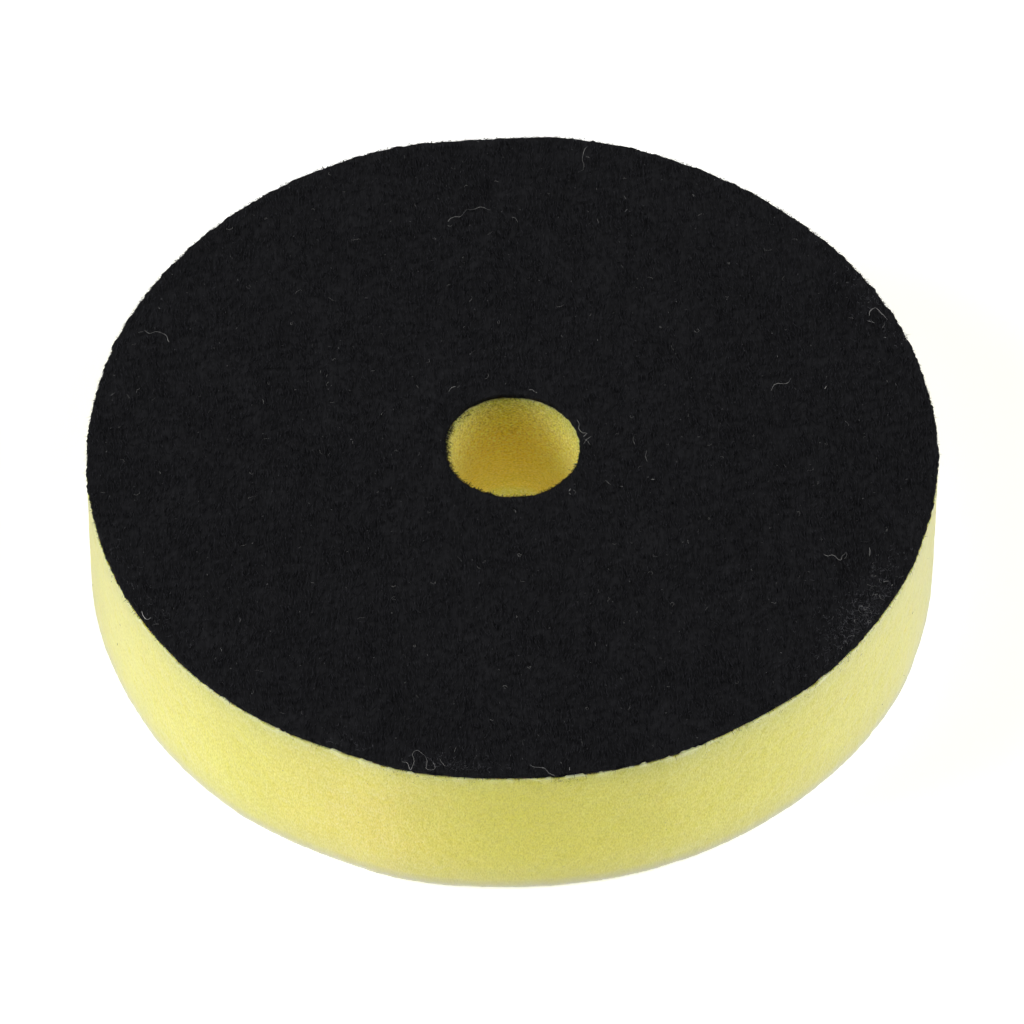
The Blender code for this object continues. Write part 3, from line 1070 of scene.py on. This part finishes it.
# Stretches of the rim where the pile has frayed: azimuth and spread in degrees, mean
# depth from the edge in millimetres, count.
FRAYED = [(-32.0, 5.5, 2.9, 430), (-97.0, 3.2, 1.5, 110), (-113.0, 2.5, 1.5, 30),
          (-150.0, 7.0, 2.5, 50), (28.0, 5.0, 2.9, 60)]


def build_frayed():
    rng = np.random.default_rng(11)
    parts = []
    for azimuth, spread_deg, depth, count in FRAYED:
        for _ in range(count):
            a = math.radians(rng.normal(azimuth, spread_deg))
            r = RADIUS - rng.gamma(1.7, depth / 1.7) * MM - 0.35 * MM
            z = PAD_TOP + rng.uniform(-0.16, 0.06) * MM
            pts = curl(rng, r * math.cos(a), r * math.sin(a), z, rng.integers(3, 6),
                       rng.uniform(0.10, 0.30) * MM, 0.6)
            ends = np.array([(p[0], p[1]) for p in pts])
            if inside_cut(ends, 0.10 * MM, 0.3 * MM).all():
                parts.append(tube(smooth_path(pts, 3), rng.uniform(0.009, 0.018) * MM, 4))
    co, tris = joined(parts)
    return mesh_object("frayed_rim_fibres", co, tris, [M_FRAY])


def build_specks():
    rng = np.random.default_rng(19)
    xy, _ = scatter(5.6 * MM, 191)
    xy = xy[inside_cut(xy, 0.6 * MM, 0.6 * MM)]
    count = len(xy)
    base = np.stack([xy[:, 0], xy[:, 1], PAD_TOP - 0.10 * MM + rng.random(count) * 0.12 * MM], 1)
    heading = rng.uniform(0, TAU, count)
    length = (0.12 + 0.34 * rng.random(count) ** 2) * MM
    width = (0.045 + 0.06 * rng.random(count)) * MM
    co, tris = spikes(
        base, heading, length, np.radians(rng.uniform(-8, 30, count)),
        0.1 * rng.random(count), width, width * 0.8, 2, rng.normal(0, 0.3, count)
    )
    return mesh_object("fibre_specks", co, tris, [M_SPECK])


def build_flecks_and_painted_shade():
    """Bits of black pile that the cut left on the foam, mostly close under the cloth; the clusters under the rim
    and under the hole's left edge are also black put there as painted shade.
    """
    rng = np.random.default_rng(29)
    parts = []
    places = [(rng.uniform(0, TAU), rng.exponential(1.3)) for _ in range(90)]
    places += [(rng.uniform(0, TAU), rng.uniform(0.5, 26.0)) for _ in range(50)]
    # painted shade: these clusters of black bits stand under the rim, where the cloth's edge shades the foam
    for azimuth, width, count in ((-83, 1.2, 34), (-103, 4.0, 46), (-60, 4.0, 26), (-38, 9.0, 50)):
        places += [(math.radians(rng.normal(azimuth, width)), rng.exponential(0.7))
                   for _ in range(count)]
    for t, drop in places:
        z = FOAM_TOP - min(drop, 27.0) * MM
        r = RADIUS + float(cut_offset(np.array([t]), np.array([z]))[0]) + 0.02 * MM
        turn = rng.normal(-0.5 * math.pi, 0.8)
        step = rng.uniform(0.05, 0.16) * MM
        s, h, pts = 0.0, 0.0, []
        for i in range(5):
            a = t + s / RADIUS
            rr = r + (0.03 + 0.05 * rng.random()) * MM
            pts.append((rr * math.cos(a), rr * math.sin(a), z + h))
            turn += rng.normal(0, 0.5)
            s += step * math.cos(turn)
            h += step * math.sin(turn)
        parts.append(tube(smooth_path(pts, 3), rng.uniform(0.012, 0.024) * MM, 4))
    # in the hole they lie under the left of its edge, black bits that are also painted shade under the
    # overhanging nap
    for _ in range(190):
        t = math.radians(rng.normal(167, 18))
        z = FOAM_TOP - (0.05 + rng.exponential(0.75)) * MM
        r = HOLE + float(periodic(HOLE_WAVE, np.array([t]))[0]) - 0.05 * MM
        turn = rng.uniform(0, TAU)
        step = rng.uniform(0.05, 0.13) * MM
        s, h, pts = 0.0, 0.0, []
        for i in range(4):
            a = t + s / HOLE
            rr = r - (0.02 + 0.09 * rng.random()) * MM
            pts.append((rr * math.cos(a) + HOLE_SHIFT[0], rr * math.sin(a) + HOLE_SHIFT[1], z + h))
            turn += rng.normal(0, 0.6)
            s += step * math.cos(turn)
            h += step * math.sin(turn)
        parts.append(tube(smooth_path(pts, 3), rng.uniform(0.03, 0.06) * MM, 4))
    co, tris = joined(parts)
    return mesh_object("black_flecks_and_painted_shade_on_foam", co, tris, [M_BLACK_FIBRE])


# ---------------------------------------------------------------- build the pad

foam = build_foam()
film = build_film()
ground = build_ground()
bed = build_pile_bed()
nap_low = build_nap("pile_nap_lower", 1.00 * MM, 301)
nap_high = build_nap("pile_nap_upper", 1.00 * MM, 401)
rim_fringe = build_fringe("pile_rim_fringe", False, 7800, 501)
hole_fringe = build_fringe("pile_hole_fringe", True, 2100, 601)
filaments = build_filaments()
frayed = build_frayed()
specks = build_specks()
flecks_and_painted_shade = build_flecks_and_painted_shade()

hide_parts("foam_disc")
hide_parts("adhesive_film")
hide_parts("backing_ground_cloth")
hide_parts("backing_loop_pile")

for piece, slot in (
    (foam, "yellow_foam"),
    (film, "clear_adhesive"),
    (ground, "black_knit"),
    (bed, "black_pile"),
    (nap_low, "black_pile"),
    (nap_high, "black_pile"),
    (rim_fringe, "black_pile"),
    (hole_fringe, "black_pile"),
    (filaments, "black_pile"),
    (frayed, "black_pile"),
    (specks, "black_pile"),
    (flecks_and_painted_shade, "black_pile"),
):
    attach(piece, "root")

# ---------------------------------------------------------------- stage, light and camera


def build_floor():
    me = bpy.data.meshes.new("floor")
    s = 0.7
    me.from_pydata([(-s, -s, 0), (s, -s, 0), (s, s, 0), (-s, s, 0)], [], [(0, 1, 2, 3)])
    floor = bpy.data.objects.new("floor", me)
    scene.collection.objects.link(floor)
    floor.location.z = -0.00002
    n = Nodes("studio_sweep")
    n.set(Roughness=0.9, Specular_IOR_Level=0.1, Emission_Strength=0.56)
    n.shader.inputs["Base Color"].default_value = (0.92, 0.92, 0.92, 1)
    n.shader.inputs["Emission Color"].default_value = (1, 1, 1, 1)
    me.materials.append(n.mat)
    return floor


build_floor()


def area_light(name, location, target, size, size_y, energy, colour=(1, 1, 1)):
    data = bpy.data.lights.new(name, "AREA")
    data.shape = "RECTANGLE"
    data.size, data.size_y = size, size_y
    data.energy = energy
    data.color = colour
    light = bpy.data.objects.new(name, data)
    scene.collection.objects.link(light)
    light.location = location
    light.rotation_euler = (Vector(target) - Vector(location)).to_track_quat("-Z", "Y").to_euler()
    return light


CENTRE = (0.0, 0.0, 0.5 * PAD_TOP)
area_light("softbox_left", (-1.29, -0.18, 0.75), CENTRE, 0.9, 0.9, 15.3)
area_light("softbox_right", (1.30, 0.12, 0.85), CENTRE, 0.9, 0.9, 11.5)
area_light("softbox_top", (0.45, -0.35, 1.45), CENTRE, 1.2, 1.0, 2.9)

world = bpy.data.worlds.new("studio")
scene.world = world
world.use_nodes = True
# a white sweep to look at, which lights the pad only a little
background = world.node_tree.nodes["Background"]
background.inputs["Color"].default_value = (1, 1, 1, 1)
path = world.node_tree.nodes.new("ShaderNodeLightPath")
seen = world.node_tree.nodes.new("ShaderNodeMapRange")
seen.inputs["To Min"].default_value = 0.04
seen.inputs["To Max"].default_value = 1.0
world.node_tree.links.new(path.outputs["Is Camera Ray"], seen.inputs["Value"])
world.node_tree.links.new(seen.outputs["Result"], background.inputs["Strength"])

# the camera looks along +Y from a long way off, half a right angle or so above the pad
ELEVATION = math.radians(49.11)
DISTANCE = 1.8863
LENS = 373.67
forward = Vector((0, math.cos(ELEVATION), -math.sin(ELEVATION)))
upward = Vector((0, math.sin(ELEVATION), math.cos(ELEVATION)))
aim = Vector((0, 0, 15 * MM)) + Vector((1, 0, 0)) * 0.2163 * MM - upward * 1.0872 * MM
cam_data = bpy.data.cameras.new("camera")
cam_data.sensor_width = 36.0
cam_data.lens = LENS
cam_data.clip_start = 0.05
cam_data.clip_end = 20.0
camera = bpy.data.objects.new("camera", cam_data)
scene.collection.objects.link(camera)
camera.location = aim - forward * DISTANCE
camera.rotation_euler = forward.to_track_quat("-Z", "Y").to_euler()
scene.camera = camera

scene.view_settings.view_transform = "Standard"
scene.view_settings.look = "None"
scene.view_settings.exposure = 0.0
scene.view_settings.gamma = 1.0

# ---------------------------------------------------------------- the end


bpy.context.view_layer.update()
